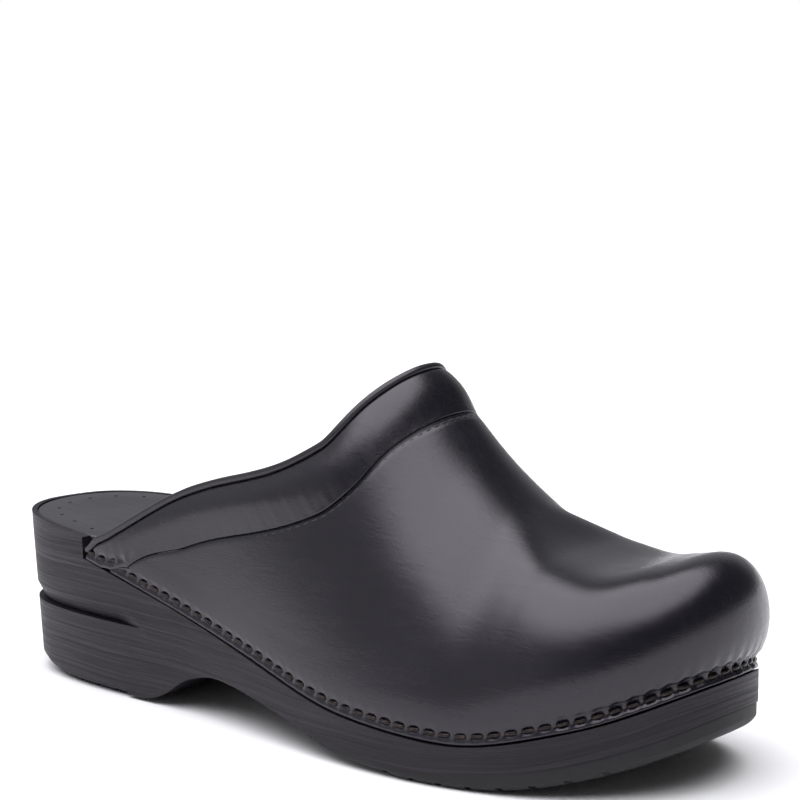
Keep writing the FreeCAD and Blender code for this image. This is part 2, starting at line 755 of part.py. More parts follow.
def topline_binding():
    """Rolled strip over the raw edges of the collar: an oval bead carried along the topline."""
    half_high = size["binding_height"] / 2 - 0.05
    half_wide = size["binding_width"] / 2
    layers = size["collar_thickness"] + size["foam_edge"] + size["lining_thickness"]
    middle = layers / 2 + size["layer_gap"]
    grid = panel(collar_low_edge(), over_the_foot(topline_rise), 0, half_high)
    centres = [column[-1] for column in sunk(grid, middle)]
    faces = [], []
    for i, centre in enumerate(centres):
        ahead = centres[min(i + 1, len(grid) - 1)] - centres[max(i - 1, 0)]
        ahead.normalize()
        normal = outward(grid, i, ROWS - 1)
        wide = (normal - ahead * normal.dot(ahead)).normalize()
        high = ahead.cross(wide).normalize() * half_high
        wide = wide * half_wide
        for side, face in zip((1, -1), faces):
            turns = [math.radians(-72 + 144 * k / 6) for k in range(7)]
            face.append([centre + wide * (side * math.cos(t)) + high * math.sin(t) for t in turns])
    return add_solid("topline_binding", shell_between(*faces))


def seam_stitches(grid):
    """Row of stitches along the vamp's upper edge."""
    points, normals = [], []
    for i, column in enumerate(grid):
        total = lengths(column)
        if total[-1] > 6:
            points.append(at_length(column, total, total[-1] - size["stitch_inset"]))
            normals.append(outward(grid, i, ROWS - 2))
    return add_solid("seam_stitches", row_of_bars(points, normals, size["stitch_pitch"],
                                                  size["stitch_length"], size["stitch_wire"]))


def margin_staples():
    """Staples that hold the margin of the upper to the sole, from one back end to the other."""
    level = size["staple_height"] / size["margin_height"] - 1
    foot = [Vector(p.x, p.y, level) for p in margin_foot(COLLAR_START)][::3]
    points = [on_upper(p) for p in foot]
    normals = []
    for i in range(len(points)):
        ahead = points[min(i + 1, len(points) - 1)] - points[max(i - 1, 0)]
        normals.append(ahead.cross(Vector(0, 0, 1)).normalize())
    return add_solid("margin_staples", row_of_bars(points, normals, size["staple_pitch"],
                                                   size["staple_length"], size["staple_wire"]))


vamp_grid, vamp_nodes = vamp_layers()
nodes = [sole_body, forefoot_tread, heel_tread, footbed_cushion, sock_lining]
nodes += vamp_nodes + collar_layers()
nodes += [topline_binding(), seam_stitches(vamp_grid), margin_staples()]

for node in nodes:
    node.setExpression("Placement.Base.x", "-Sizes.origin_station")
    node.setExpression("Placement.Base.y", "-Sizes.origin_side")
doc.recompute()

for item in doc.Objects:
    if "Invalid" in item.State or "Error" in item.State:
        raise RuntimeError("%s could not be built" % item.Label)
os.makedirs("parts", exist_ok=True)
for node in nodes:
    if node.Shape.isNull() or not node.Shape.isValid():
        raise RuntimeError("%s has no valid shape" % node.Label)
for node in nodes:
    node.Shape.exportStep("parts/%s.step" % node.Label)
    print("%-18s %8.0f mm3" % (node.Label, node.Shape.Volume))
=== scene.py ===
import math

import bpy
import numpy as np
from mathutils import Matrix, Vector


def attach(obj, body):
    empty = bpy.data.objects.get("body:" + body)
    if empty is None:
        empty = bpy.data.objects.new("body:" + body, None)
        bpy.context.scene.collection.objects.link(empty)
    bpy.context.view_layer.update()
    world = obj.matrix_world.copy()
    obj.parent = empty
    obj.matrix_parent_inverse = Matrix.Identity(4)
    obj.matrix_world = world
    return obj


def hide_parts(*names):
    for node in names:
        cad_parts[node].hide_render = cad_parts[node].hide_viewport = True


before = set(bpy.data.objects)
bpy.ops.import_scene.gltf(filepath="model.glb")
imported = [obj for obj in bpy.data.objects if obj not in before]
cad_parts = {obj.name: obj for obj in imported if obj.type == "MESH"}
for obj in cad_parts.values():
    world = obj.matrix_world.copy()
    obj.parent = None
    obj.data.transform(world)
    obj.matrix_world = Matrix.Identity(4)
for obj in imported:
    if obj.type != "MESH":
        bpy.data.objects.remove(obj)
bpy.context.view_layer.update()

# Looks of an open-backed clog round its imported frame. Shapes are worked out in the heel frame in
# millimetres: stations run from the back of the heel to the toe, +Y is the inner side of the foot
# and +Z is up. Meshes are moved to the part's own origin, in metres, when they are made.

rng = np.random.default_rng(7)

MM = 0.001
ORIGIN = np.array([133.8, -1.0, 0.0])
LENGTH = 265.0
WIDTH = 95.0
HEEL_RADIUS = 32.5
TOE_RADIUS = 40.0
WAIST_OUTER = 37.0
WAIST_INNER = 30.0
UPPER_INSET = 0.6
MARGIN_HEIGHT = 5.0
MARGIN_GAP = 0.3
VAMP_THICKNESS = 1.8
COLLAR_THICKNESS = 1.4
LINING_THICKNESS = 1.0
PUFF_THICKNESS = 0.8
FOAM_EDGE = 0.5
FOAM_BULGE = 3.5
COLLAR_BULGE = 2.2
LAYER_GAP = 0.1
JOINT_GAP = 0.3
BINDING_HEIGHT = 2.6
BINDING_WIDTH = 3.8
STAPLE_PITCH = 5.0
STAPLE_HEIGHT = 3.0
STAPLE_LENGTH = 3.3
STAPLE_RADIUS = 0.55
STAPLE_SINK = 0.46
STAPLE_SINK_MORE_AT_TOE = 0.20
STITCH_PITCH = 3.2
STITCH_INSET = 1.3
STITCH_LENGTH = 2.3
STITCH_RADIUS = 0.24
STITCH_SINK = 0.42
UPPER_START = 45.0
SOCK_THICKNESS = 1.6
SOCK_INSET = 2.0
SOCK_INSET_FRONT = 6.0
SOCK_EDGE_RADIUS = 1.0
HEEL_HOLLOW = 0.9
PERFORATION_INSET = 9.0
PERFORATION_PITCH = 9.5
PERFORATION_RADIUS = 0.62
PERFORATION_DEPTH = 1.3


# ---------------------------------------------------------------- curves that give the shape

class Curve:
    """A smooth curve through a few points that never overshoots them (monotone cubic)."""

    def __init__(self, *points):
        self.x, self.y = np.array(points, float).T
        slopes = np.diff(self.y) / np.diff(self.x)
        before, after = slopes[:-1], slopes[1:]
        same_sign = before * after > 0
        mean = np.where(same_sign, 2 * before * after / np.where(same_sign, before + after, 1), 0)
        self.slope = np.concatenate([slopes[:1], mean, slopes[-1:]])

    def __call__(self, x):
        x = np.clip(x, self.x[0], self.x[-1])
        i = np.clip(np.searchsorted(self.x, x, side="right") - 1, 0, len(self.x) - 2)
        width = self.x[i + 1] - self.x[i]
        f = (x - self.x[i]) / width
        level = self.y[i] * (1 + 2 * f) * (1 - f) ** 2 + self.y[i + 1] * f * f * (3 - 2 * f)
        lean = self.slope[i] * f * (1 - f) ** 2 - self.slope[i + 1] * f * f * (1 - f)
        return level + width * lean


class ClosedSpline:
    """A smooth closed curve through points in plan, measured by the distance between them."""

    def __init__(self, points):
        self.p = np.array(points, float)
        self.h = np.linalg.norm(np.roll(self.p, -1, axis=0) - self.p, axis=1)
        self.knots = np.concatenate([[0], np.cumsum(self.h)])
        self.period = self.knots[-1]
        count = len(self.p)
        rise = (np.roll(self.p, -1, axis=0) - self.p) / self.h[:, None]
        system = np.zeros((count, count))
        for i in range(count):
            system[i, i - 1] += self.h[i - 1]
            system[i, i] += 2 * (self.h[i - 1] + self.h[i])
            system[i, (i + 1) % count] += self.h[i]
        self.bend = np.linalg.solve(system, 6 * (rise - np.roll(rise, 1, axis=0)))

    def _span(self, t):
        t = np.mod(t, self.period)
        i = np.clip(np.searchsorted(self.knots, t, side="right") - 1, 0, len(self.h) - 1)
        j = (i + 1) % len(self.h)
        h = self.h[i][..., None]
        b = (t - self.knots[i])[..., None] / h
        return 1 - b, b, h, self.p[i], self.p[j], self.bend[i], self.bend[j]

    def point(self, t):
        a, b, h, p0, p1, m0, m1 = self._span(t)
        return a * p0 + b * p1 + ((a ** 3 - a) * m0 + (b ** 3 - b) * m1) * h * h / 6

    def tangent(self, t):
        a, b, h, p0, p1, m0, m1 = self._span(t)
        along = (p1 - p0) / h - (3 * a * a - 1) / 6 * h * m0 + (3 * b * b - 1) / 6 * h * m1
        return along / np.linalg.norm(along, axis=-1, keepdims=True)


def smooth(x, start, end):
    """0 before start, 1 after end, with a soft change between them."""
    f = np.clip((x - start) / (end - start), 0, 1)
    return f * f * (3 - 2 * f)


def arc(centre, radius, degrees):
    """Points of a circle in plan at the given angles."""
    return [(centre[0] + radius * math.cos(math.radians(d)), centre[1] + radius * math.sin(math.radians(d)))
            for d in degrees]


# The widest outline of the sole: a round heel, the waist, the ball and a round toe.
heel_centre = HEEL_RADIUS, 1.0
toe_centre = LENGTH - TOE_RADIUS, 5.0
OUTLINE = arc(heel_centre, HEEL_RADIUS, (180, 225, 270))
OUTLINE += [(100, -WAIST_OUTER), (176, -0.51 * WIDTH)]
OUTLINE += arc(toe_centre, TOE_RADIUS, (-60, -30, 0, 30, 60))
OUTLINE += [(198, 0.49 * WIDTH), (105, WAIST_INNER)]
OUTLINE += arc(heel_centre, HEEL_RADIUS, (90, 135))
outline = ClosedSpline(OUTLINE)

ledge = Curve((0, 52), (45, 43), (120, 24), (165, 14.5), (200, 12.5), (235, 19.5), (265, 32), (280, 38.5))
footbed = Curve((-10, 53.5), (25, 52), (80, 44), (135, 29), (165, 22), (200, 19.5), (240, 27),
                (265, 36.5), (280, 41.5))
ridge = Curve((45, 128), (100, 150), (157, 112), (167, 100), (182, 84), (200, 70), (215, 62), (228, 60),
              (245, 64), (265, 78))
ridge_side = Curve((45, 0), (100, 0), (157, 4), (200, 4), (235, 6), (265, 7.5))
roundness = Curve((45, 2.1), (157, 2.1), (195, 2.3))
steepness = Curve((45, 1.3), (100, 1.25), (157, 1.25), (195, 1.5))
# Rise of the collar seam and of the topline over the edge of the arch, by station: 1 is the ridge,
# and below 0 the curve runs down the upright margin that the staples hold.
seam_rise = Curve((58, -0.75), (66, 0), (92, 0.15), (125, 0.31), (145, 0.47), (155, 0.62), (163, 0.83),
                  (169, 1))
topline_rise = Curve((46, -0.15), (47, 0), (56, 0.09), (80, 0.26), (120, 0.45), (140, 0.64),
                     (150, 0.85), (157, 1))
COLLAR_START = topline_rise.x[0]
VAMP_START = seam_rise.x[0]
TOE_CENTRE = 195.0
TOE_BLEND = 178, 212
SIDE_SWELL = 1.0
TOE_SWELL = 3.3
TOE_ROUNDNESS = 6.7
TOE_STEEPNESS = 0.85
TOE_FRONT = 205, 262
SAMPLES = 2880
MARGIN_FOOT = MARGIN_GAP / MARGIN_HEIGHT - 1


def rim_point(t, inset):
    """Points of the outline moved inwards; the inset may depend on the station."""
    point, along = outline.point(t), outline.tangent(t)
    distance = inset(point[..., 0]) if callable(inset) else inset
    inwards = np.stack([-along[..., 1], along[..., 0]], axis=-1)
    return point + inwards * np.asarray(distance)[..., None]


edge = rim_point(outline.period * np.arange(SAMPLES) / SAMPLES, UPPER_INSET)
toe_index = int(np.argmax(edge[:, 0]))


def table(keys, values):
    """A function that reads linearly between pairs."""
    order = np.argsort(keys)
    keys, values = np.asarray(keys)[order], np.asarray(values)[order]
    return lambda x: np.interp(x, keys, values)


outer_side = table(edge[4:toe_index + 1, 0], edge[4:toe_index + 1, 1])
inner_side = table(edge[toe_index:, 0], edge[toe_index:, 1])
toe_middle = np.array([TOE_CENTRE, float(ridge_side(TOE_CENTRE))])
spokes = edge - toe_middle
toe_reach = table(np.arctan2(spokes[:, 1], spokes[:, 0]), np.linalg.norm(spokes, axis=1))


# ---------------------------------------------------------------- the dome of the upper

def dome_rise(off_ridge, power, lean):
    """Rise of a superellipse arch: 1 on the ridge and 0 at the edge."""
    return np.maximum(1 - np.minimum(off_ridge, 1.0) ** power, 0) ** (1 / lean)


def swell(rise, front):
    """How far the upper bulges outwards over its own edge."""
    return (SIDE_SWELL + TOE_SWELL * front) * np.sin(np.pi * rise ** 0.8)


def across(station, side):
    """Dome points from the arches square to the length of the shoe."""
    middle = ridge_side(station)
    limit = np.where(side < middle, outer_side(station), inner_side(station))
    off_ridge = (side - middle) / (limit - middle)
    rise = dome_rise(off_ridge, roundness(station), steepness(station))
    base = ledge(station) + MARGIN_HEIGHT
    push = np.copysign(swell(rise, 0) * np.minimum(off_ridge, 1), limit - middle)
    return np.stack([station, side + push, base + (ridge(station) - base) * rise], axis=-1)


def around(station, side):
    """Dome points from the spokes that fan out round the toe, fuller and steeper towards its front."""
    dx, dy = station - toe_middle[0], side - toe_middle[1]
    angle = np.arctan2(dy, dx)
    reach = toe_reach(angle)
    off_ridge = np.hypot(dx, dy) / reach
    front = np.maximum(np.cos(angle), 0) ** 2
    base = ledge(toe_middle[0] + reach * np.cos(angle)) + MARGIN_HEIGHT
    power = roundness.y[-1] + TOE_ROUNDNESS * front
    lean = steepness.y[-1] + TOE_STEEPNESS * front
    rise = dome_rise(off_ridge, power, lean)
    push = swell(rise, front) * np.minimum(off_ridge, 1)
    return np.stack([station + push * np.cos(angle), side + push * np.sin(angle),
                     base + (ridge(station) - base) * rise], axis=-1)


def on_upper(place):
    """Outer face of the upper at plan places; a negative z is a share of the margin's height."""
    station, side = place[..., 0], place[..., 1]
    blend = smooth(station, *TOE_BLEND)[..., None]
    dome = across(station, side) * (1 - blend) + around(station, side) * blend
    dome[..., 2] += np.minimum(place[..., 2], 0) * MARGIN_HEIGHT
    return dome


def place_on_arch(station, rise, inner):
    """Plan places where the arches have the given rise, on the inner or outer side."""
    middle = ridge_side(station)
    limit = inner_side(station) if inner else outer_side(station)
    off_ridge = (1 - np.clip(rise, 0, 1) ** steepness(station)) ** (1 / roundness(station))
    return np.stack([station, middle + (limit - middle) * off_ridge, np.minimum(rise, 0)], axis=-1)


def path_lengths(points):
    """Distance along a polyline at each of its points."""
    steps = np.linalg.norm(np.diff(points, axis=-2), axis=-1)
    zero = np.zeros(steps.shape[:-1] + (1,))
    return np.concatenate([zero, np.cumsum(steps, axis=-1)], axis=-1)


def at_lengths(points, total, distances):
    """Points at distances along a polyline."""
    return np.stack([np.interp(distances, total, points[:, axis]) for axis in range(3)], axis=-1)


def spread(places, count):
    """Places at even distances along the upper."""
    total = path_lengths(on_upper(places))
    return at_lengths(places, total, np.linspace(0, total[-1], count))


def over_the_foot(rise):
    """Plan places along a curve of given rise, from the outer side over the ridge to the inner."""
    start, end = rise.x[0], rise.x[-1]
    stations = end - (end - start) * (1 - np.arange(241) / 240) ** 2
    outer = place_on_arch(stations, rise(stations), False)
    back = stations[-2::-1]
    return np.concatenate([outer, place_on_arch(back, rise(back), True)])


def margin_foot(start, end=LENGTH + 10):
    """Plan places along the foot of the margin, from the outer side round the toe to the inner."""
    kept = edge[(edge[:, 0] >= start) & (edge[:, 0] < end)]
    return np.concatenate([kept, np.full((len(kept), 1), MARGIN_FOOT)], axis=1)


def collar_low_edge():
    """The collar's lower edge: the margin's foot at the back ends and the seam between them."""
    foot = margin_foot(COLLAR_START, VAMP_START - 4)
    return np.concatenate([foot[foot[:, 1] < 0], over_the_foot(seam_rise), foot[foot[:, 1] > 0]])


def climb(low, high):
    """Columns of places from one curve up to another: up the margin first, then straight in plan."""
    foot = low.copy()
    on_margin = low[:, 2] < 0
    foot[on_margin, 2] = np.minimum(high[on_margin, 2], 0)
    up_margin = np.arange(12)[None, :, None] / 12
    up_dome = (np.arange(145)[None, :, None] / 144) ** 2
    return np.concatenate([low[:, None] + (foot - low)[:, None] * up_margin,
                           foot[:, None] + (high - foot)[:, None] * up_dome], axis=1)


def outward(grid):
    """Unit normals of a grid that face out of the shoe."""
    along, up = np.gradient(grid, axis=0), np.gradient(grid, axis=1)
    normal = np.cross(along, up)
    return normal / np.maximum(np.linalg.norm(normal, axis=-1, keepdims=True), 1e-9)


class Panel:
    """A piece of the upper between two curves, as columns that run from low to high."""

    def __init__(self, low_curve, high_curve, columns, shares, trim_low=0.0, trim_high=0.0):
        low, high = spread(low_curve, columns), spread(high_curve, columns)
        points = on_upper(climb(low, high))
        total = path_lengths(points)
        self.on_margin = low[:, 2] < 0
        trims = np.stack([np.where(self.on_margin, 0, trim_low), np.full(columns, trim_high)])
        whole = total[:, -1]
        trims *= np.minimum(1, 0.7 * whole / np.maximum(trims.sum(axis=0), 1e-6))
        self.length = whole - trims.sum(axis=0)
        self.from_low = self.length[:, None] * shares[None, :]
        self.from_high = self.length[:, None] - self.from_low
        self.grid = np.stack([at_lengths(points[i], total[i], trims[0, i] + self.from_low[i])
                              for i in range(columns)])
        self.low = self.grid[:, 0]
        self.along = np.linspace(0, 1, columns)[:, None]
        self.up = shares[None, :]
        self.normal = outward(self.grid)

    def moved(self, distance):
        """The grid moved out of the shoe; a negative distance goes in."""
        return self.grid + self.normal * np.broadcast_to(distance, self.grid.shape[:2])[..., None]


def dense_low(count, first):
    """Row shares that lie close together near 0."""
    u = np.linspace(0, 1, count)
    return first * u + (1 - first) * u ** 2.2


def dense_ends(count):
    """Row shares that lie close together near 0 and near 1."""
    u = np.linspace(0, 1, count)
    return u - 0.11 * np.sin(2 * np.pi * u)


# ---------------------------------------------------------------- meshes

def grid_faces(columns, rows, first=0, flip=False):
    """Quads over a grid of vertices."""
    i, j = np.meshgrid(np.arange(columns - 1), np.arange(rows - 1), indexing="ij")
    a = first + i * rows + j
    quads = np.stack([a, a + rows, a + rows + 1, a + 1], axis=-1).reshape(-1, 4)
    return quads[:, ::-1] if flip else quads


def rim_faces(outer_ids, inner_ids):
    """Quads between two lines of vertices."""
    return np.stack([inner_ids[:-1], inner_ids[1:], outer_ids[1:], outer_ids[:-1]], axis=-1)


def closed_sheet(outer, inner):
    """Vertices and faces of a closed sheet between two grids."""
    columns, rows = outer.shape[:2]
    ids = np.arange(columns * rows).reshape(columns, rows)
    below = ids + columns * rows
    faces = [grid_faces(columns, rows), grid_faces(columns, rows, columns * rows, flip=True),
             rim_faces(ids[:, 0], below[:, 0]), rim_faces(below[:, -1], ids[:, -1]),
             rim_faces(below[0], ids[0]), rim_faces(ids[-1], below[-1])]
    return np.concatenate([outer.reshape(-1, 3), inner.reshape(-1, 3)]), np.concatenate(faces)


def tube(centres, wide, high, half_wide, half_high, turns=20, power=2.0):
    """Vertices and faces of a closed tube with an oval section and capped ends."""
    angle = 2 * np.pi * np.arange(turns) / turns
    c, s = np.cos(angle), np.sin(angle)
    c = np.sign(c) * np.abs(c) ** (2 / power)
    s = np.sign(s) * np.abs(s) ** (2 / power)
    half_wide = np.broadcast_to(half_wide, len(centres))[:, None, None]
    half_high = np.broadcast_to(half_high, len(centres))[:, None, None]
    rings = (centres[:, None] + wide[:, None] * c[None, :, None] * half_wide
             + high[:, None] * s[None, :, None] * half_high)
    count = len(centres)
    ids = np.arange(count * turns).reshape(count, turns)
    around_ids = np.concatenate([ids, ids[:, :1]], axis=1)
    quads = np.stack([around_ids[:-1, :-1], around_ids[:-1, 1:], around_ids[1:, 1:],
                      around_ids[1:, :-1]], axis=-1).reshape(-1, 4)
    ends = np.stack([centres[0], centres[-1]])
    first, last = count * turns, count * turns + 1
    fans = [[first, around_ids[0, k + 1], around_ids[0, k]] for k in range(turns)]
    fans += [[last, around_ids[-1, k], around_ids[-1, k + 1]] for k in range(turns)]
    return np.concatenate([rings.reshape(-1, 3), ends]), quads.tolist() + fans


def join(parts):
    """Several vertex and face lists as one."""
    vertices, faces, first = [], [], 0
    for points, polygons in parts:
        vertices.append(points)
        faces += [[first + index for index in polygon] for polygon in polygons]
        first += len(points)
    return np.concatenate(vertices), faces


def add_piece(name, shape, material, slot, *nodes):
    """A shown piece that rides on the shoe and stands for CAD nodes."""
    vertices, faces = shape
    mesh = bpy.data.meshes.new(name)
    faces = faces.tolist() if isinstance(faces, np.ndarray) else faces
    mesh.from_pydata(((vertices - ORIGIN) * MM).tolist(), [], faces)
    mesh.shade_smooth()
    mesh.materials.append(material)
    piece = bpy.data.objects.new(name, mesh)
    bpy.context.scene.collection.objects.link(piece)
    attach(piece, "root")
    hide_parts(*nodes)
    return piece


# ---------------------------------------------------------------- materials

class Shader:
    """Short calls for building a node material around one Principled shader."""

    def __init__(self, name):
        self.material = bpy.data.materials.new(name)
        self.material.use_nodes = True
        self.tree = self.material.node_tree
        self.principled = self.tree.nodes["Principled BSDF"]
        self.place = self.add("ShaderNodeTexCoord").outputs["Object"]

    def add(self, kind, inputs=None, **settings):
        node = self.tree.nodes.new(kind)
        for key, value in settings.items():
            setattr(node, key, value)
        for key, value in (inputs or {}).items():
            self.feed(node.inputs[key], value)
        return node

    def feed(self, socket, value):
        if isinstance(value, bpy.types.NodeSocket):
            self.tree.links.new(value, socket)
        else:
            socket.default_value = value

    def set(self, **inputs):
        for key, value in inputs.items():
            self.feed(self.principled.inputs[key.replace("_", " ")], value)

    def math(self, operation, a, b=0.0):
        return self.add("ShaderNodeMath", {0: a, 1: b}, operation=operation).outputs[0]

    def scaled(self, scale, vector=None):
        mapping = self.add("ShaderNodeMapping", {"Vector": vector or self.place, "Scale": scale})
        return mapping.outputs["Vector"]

    def noise(self, scale, detail=3.0, roughness=0.5, vector=None, distortion=0.0):
        node = self.add("ShaderNodeTexNoise", {"Vector": vector or self.place, "Scale": scale,
                                               "Detail": detail, "Roughness": roughness,
                                               "Distortion": distortion})
        return node.outputs["Fac"]

    def cells(self, scale, vector=None):
        node = self.add("ShaderNodeTexVoronoi", {"Vector": vector or self.place, "Scale": scale},
                        feature="DISTANCE_TO_EDGE")
        return node.outputs["Distance"]

    def range(self, value, low, high, new_low, new_high):
        node = self.add("ShaderNodeMapRange", {"Value": value, "From Min": low, "From Max": high,
                                               "To Min": new_low, "To Max": new_high})
        return node.outputs["Result"]

    def blend(self, share, first, second):
        node = self.add("ShaderNodeMix", data_type="RGBA")
        self.feed(node.inputs["Factor"], share)
        self.feed(node.inputs["A"], first)
        self.feed(node.inputs["B"], second)
        return node.outputs["Result"]

    def bump(self, height, strength, depth, below=None):
        inputs = {"Height": height, "Strength": strength, "Distance": depth}
        if below:
            inputs["Normal"] = below
        return self.add("ShaderNodeBump", inputs).outputs["Normal"]


def rgb(red, green, blue):
    return (red, green, blue, 1.0)


def box_leather(name, dark, light, gloss=0.235, grain=1.0):
    """Smooth polished leather: fine creased grain, faint pores, cloudy wax and dye."""
    s = Shader(name)
    clouds = s.noise(28, 4, 0.6)
    fine = s.noise(900, 3, 0.6)
    pores = s.cells(1150)
    strokes = s.noise(60, 5, 0.65, s.scaled((1.0, 6.0, 6.0)), 0.6)
    s.set(Base_Color=s.blend(s.range(clouds, 0.3, 0.7, 0.0, 1.0), rgb(*dark), rgb(*light)))
    rough = s.math("ADD", s.range(clouds, 0.3, 0.7, gloss - 0.03, gloss + 0.04),
                   s.range(strokes, 0.35, 0.7, -0.02, 0.05))
    s.set(Roughness=rough, IOR=1.5)
    s.set(Coat_Weight=0.06, Coat_Roughness=0.16, Specular_Tint=rgb(0.97, 0.92, 1.0))
    grain_normal = s.bump(s.range(pores, 0.0, 0.12, 0.0, 1.0), 0.16 * grain, 0.00006)
    fine_normal = s.bump(fine, 0.22 * grain, 0.00008, grain_normal)
    s.set(Normal=s.bump(strokes, 0.10 * grain, 0.0005, fine_normal))
    return s.material


def stained_wood():
    """Black-stained wood: fine streaks that follow the sole, and a plain band under the heel groove."""
    s = Shader("stained_wood")
    spring_start, spring_curve = 0.052, 3.1
    split = s.add("ShaderNodeSeparateXYZ", {"Vector": s.place})
    ahead = s.math("MAXIMUM", s.math("SUBTRACT", split.outputs["X"], spring_start), 0.0)
    toe_rise = s.math("MULTIPLY", s.math("MULTIPLY", ahead, ahead), spring_curve)
    height = s.math("SUBTRACT", split.outputs["Z"], toe_rise)
    drift = s.math("MULTIPLY", s.math("SUBTRACT", s.noise(14, 2, 0.5), 0.5), 0.006)
    level = s.math("ADD", height, drift)
    layered = s.add("ShaderNodeCombineXYZ", {"X": split.outputs["X"], "Y": split.outputs["Y"],
                                             "Z": level}).outputs["Vector"]
    streaks = s.noise(1.0, 6, 0.68, s.scaled((14, 14, 1100), layered), 0.15)
    bands = s.noise(1.0, 3, 0.5, s.scaled((9, 9, 230), layered), 0.4)
    pores = s.noise(1.0, 2, 0.5, s.scaled((150, 150, 2600), layered))
    lines = s.range(streaks, 0.36, 0.62, 0.0, 1.0)
    wash = s.blend(s.range(bands, 0.32, 0.68, 0.0, 1.0), rgb(0.0045, 0.0040, 0.0062),
                   rgb(0.013, 0.012, 0.0165))
    colour = s.blend(lines, rgb(0.0028, 0.0025, 0.0036), wash)
    brown = s.range(s.noise(20, 3, 0.6), 0.5, 0.8, 0.0, 0.5)
    colour = s.blend(brown, colour, rgb(0.014, 0.0115, 0.014))
    at_heel = s.range(split.outputs["X"], -0.066, -0.060, 1.0, 0.0)
    under_groove = s.math("MULTIPLY", s.range(split.outputs["Z"], 0.0188, 0.0196, 0.0, 1.0),
                          s.range(split.outputs["Z"], 0.0240, 0.0246, 1.0, 0.0))
    band = s.math("MULTIPLY", at_heel, under_groove)
    plain = s.math("SUBTRACT", 1.0, band)
    s.set(Base_Color=s.blend(band, colour, rgb(0.0050, 0.0045, 0.0062)))
    s.set(Roughness=s.range(lines, 0.0, 1.0, 0.62, 0.44), Specular_IOR_Level=0.36,
          Specular_Tint=rgb(1.0, 0.92, 1.0))
    relief = s.bump(s.math("MULTIPLY", streaks, plain), 0.55, 0.0007)
    s.set(Normal=s.bump(pores, 0.25, 0.0003, relief))
    return s.material


def tread_rubber():
    """Moulded black rubber, slightly dusty and scuffed."""
    s = Shader("tread_rubber")
    dust = s.noise(60, 5, 0.65)
    grit = s.noise(1400, 2, 0.6)
    s.set(Base_Color=s.blend(s.range(dust, 0.42, 0.72, 0.0, 1.0), rgb(0.007, 0.0065, 0.008),
                             rgb(0.016, 0.015, 0.018)))
    s.set(Roughness=s.range(dust, 0.3, 0.7, 0.5, 0.66), Specular_IOR_Level=0.35)
    s.set(Normal=s.bump(grit, 0.25, 0.0001))
    return s.material


def lining_leather():
    """Plain unpolished leather inside the shoe."""
    s = Shader("lining_leather")
    clouds = s.noise(35, 4, 0.6)
    pores = s.cells(700)
    s.set(Base_Color=s.blend(s.range(clouds, 0.3, 0.7, 0.0, 1.0), rgb(0.020, 0.020, 0.022),
                             rgb(0.034, 0.033, 0.035)))
    s.set(Roughness=s.range(clouds, 0.3, 0.7, 0.5, 0.62))
    s.set(Normal=s.bump(s.range(pores, 0.0, 0.15, 0.0, 1.0), 0.35, 0.0001))
    return s.material


def staple_wire():
    """Dark lacquered wire, worn a little lighter in patches."""
    s = Shader("staple_wire")
    patches = s.noise(900, 3, 0.6)
    s.set(Base_Color=s.blend(s.range(patches, 0.45, 0.72, 0.0, 1.0), rgb(0.016, 0.012, 0.012),
                             rgb(0.060, 0.042, 0.040)))
    s.set(Metallic=0.75, Roughness=s.range(patches, 0.3, 0.7, 0.26, 0.42))
    s.set(Normal=s.bump(patches, 0.15, 0.0001))
    return s.material


def waxed_thread():
    """Twisted black thread."""
    s = Shader("waxed_thread")
    twist = s.noise(2600, 2, 0.5, s.scaled((1.0, 1.0, 2.0)))
    s.set(Base_Color=s.blend(twist, rgb(0.008, 0.008, 0.009), rgb(0.028, 0.027, 0.03)))
    s.set(Roughness=0.55, Normal=s.bump(twist, 0.5, 0.0002))
    return s.material


def padding_foam():
    """Open-cell foam that the leather hides."""
    s = Shader("padding_foam")
    bubbles = s.cells(900)
    s.set(Base_Color=s.blend(s.range(bubbles, 0.0, 0.3, 0.0, 1.0), rgb(0.30, 0.30, 0.31),
                             rgb(0.17, 0.17, 0.18)))
    s.set(Roughness=0.95, Normal=s.bump(bubbles, 0.6, 0.0004))
    return s.material


def stiffener_sheet():
    """Pressed sheet that keeps the toe in shape."""
    s = Shader("stiffener_sheet")
    fibres = s.noise(400, 4, 0.7, s.scaled((1, 5, 5)))
    s.set(Base_Color=s.blend(fibres, rgb(0.50, 0.46, 0.38), rgb(0.66, 0.62, 0.54)))
    s.set(Roughness=0.7, Normal=s.bump(fibres, 0.3, 0.0002))
    return s.material


upper_black = (0.0042, 0.0040, 0.0066), (0.0062, 0.0059, 0.0094)
upper_leather = box_leather("upper_leather", *upper_black)
collar_leather = box_leather("collar_leather", *upper_black, 0.25)
binding_leather = box_leather("binding_leather", (0.008, 0.008, 0.009), (0.014, 0.013, 0.015), 0.30, 1.3)
sock_leather = box_leather("sock_leather", (0.015, 0.015, 0.019), (0.024, 0.023, 0.029), 0.42, 1.2)
inside_leather = lining_leather()
wood = stained_wood()
rubber = tread_rubber()


# ---------------------------------------------------------------- staples along the margin

def margin_line():
    """Plan places of the margin from one back end of the upper to the other, and their lengths."""
    places = margin_foot(COLLAR_START)
    places[:, 2] = STAPLE_HEIGHT / MARGIN_HEIGHT - 1
    return places, path_lengths(on_upper(places))


line_places, line_lengths = margin_line()
staple_count = int(line_lengths[-1] // STAPLE_PITCH)
staple_step = line_lengths[-1] / staple_count
staple_force = rng.uniform(0.75, 1.25, staple_count + 2)


def line_position(points):
    """Distance along the margin line of the nearest place to each point in plan."""
    gaps = np.linalg.norm(points[:, None, :2] - line_places[None, :, :2], axis=-1)
    return line_lengths[np.argmin(gaps, axis=1)]


def front_share(points):
    """1 at the front of the toe, 0 along the sides."""
    return smooth(points[:, 0], *TOE_FRONT)[:, None]


